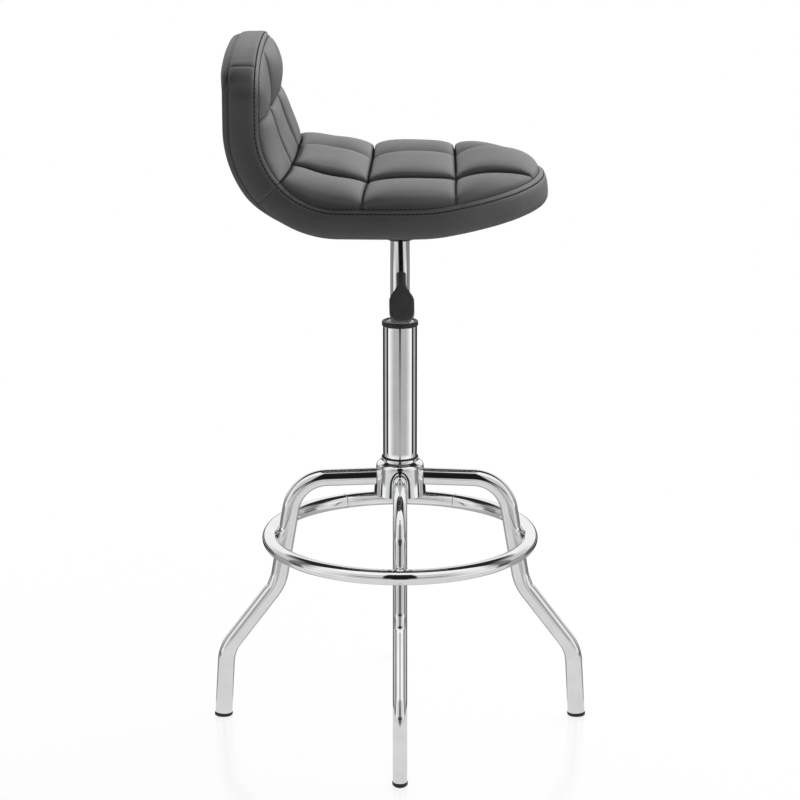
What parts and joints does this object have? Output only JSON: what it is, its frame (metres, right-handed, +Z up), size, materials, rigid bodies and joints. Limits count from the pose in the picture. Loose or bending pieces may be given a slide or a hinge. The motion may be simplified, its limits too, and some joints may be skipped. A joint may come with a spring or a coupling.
{
  "type": "bar stool",
  "caption": "Bar stool with a quilted faux-leather seat and low back on a swivelling gas lift with a release lever, on bent chromed oval-tube legs with a foot ring.",
  "frame": {"origin": "on the floor under the middle of the column", "axes": "+Z up along the column, +X the way the seat faces in the stored pose, lever on -Y"},
  "size_m": [0.5622, 0.5622, 1.0288],
  "materials": {
    "chrome": "mirror-bright chrome plate",
    "steel": "plain machined steel",
    "black_plastic": "moulded black, fine texture",
    "grey_plastic": "moulded pale grey, smooth",
    "rubber": "moulded black rubber",
    "black_steel": "black powder coat",
    "plywood": "bent plywood, unfinished",
    "leather": "dark grey faux leather, fine grain, double-stitched seams"
  },
  "bodies": {
    "base": {"base_hub": "chrome", "leg_front": "chrome", "leg_rear": "chrome", "leg_left": "chrome", "leg_right": "chrome", "foot_ring": "chrome", "foot_cap_front": "black_plastic", "foot_cap_rear": "black_plastic", "foot_cap_left": "black_plastic", "foot_cap_right": "black_plastic", "column_tube": "chrome", "column_top_ring": "black_plastic", "guide_bush": "grey_plastic", "column_base_plate": "steel", "thrust_race_lower": "steel", "ball_cage": "steel"},
    "piston": {"thrust_race_upper": "steel", "rubber_bumper": "rubber", "piston_rod": "steel", "rod_clip": "steel", "piston_head": "steel"},
    "seat": {"gas_cylinder": "chrome", "rod_guide": "grey_plastic", "valve_body": "steel", "seat_plate": "black_steel", "seat_boss": "black_steel", "seat_bolt_front_left": "steel", "seat_bolt_front_right": "steel", "seat_bolt_rear_left": "steel", "seat_bolt_rear_right": "steel", "tee_nut_front_left": "steel", "tee_nut_front_right": "steel", "tee_nut_rear_left": "steel", "tee_nut_rear_right": "steel", "lever_bracket": "black_steel", "lever_pin": "steel", "seat_shell": "plywood", "outer_cover": "leather", "border_band": "leather", "seat_cushion": "leather", "back_cushion": "leather"},
    "lever": {"lever_rod": "black_steel", "lever_paddle": "black_plastic"},
    "release": {"release_pin": "steel"}
  },
  "joints": [
    {"name": "swivel", "type": "hinge", "parent": "base", "child": "piston", "pos_m": [0, 0, 0.36], "axis": [0, 0, 1], "continuous": true},
    {"name": "lift", "type": "slide", "parent": "piston", "child": "seat", "axis": [0, 0, 1], "range_m": [-0.105, 0]},
    {"name": "lever", "type": "hinge", "parent": "seat", "child": "lever", "pos_m": [0, -0.03, 0.7675], "axis": [-1, 0, 0], "range_deg": [0, 5.5], "stiffness_Nm_per_rad": 0.6},
    {"name": "release", "type": "slide", "parent": "seat", "child": "release", "axis": [0, 0, -1], "range_m": [0, 0.003]}
  ],
  "couplings": [
    {"joint": "release", "follows": "lever", "m_per_rad": 0.031}
  ]
}
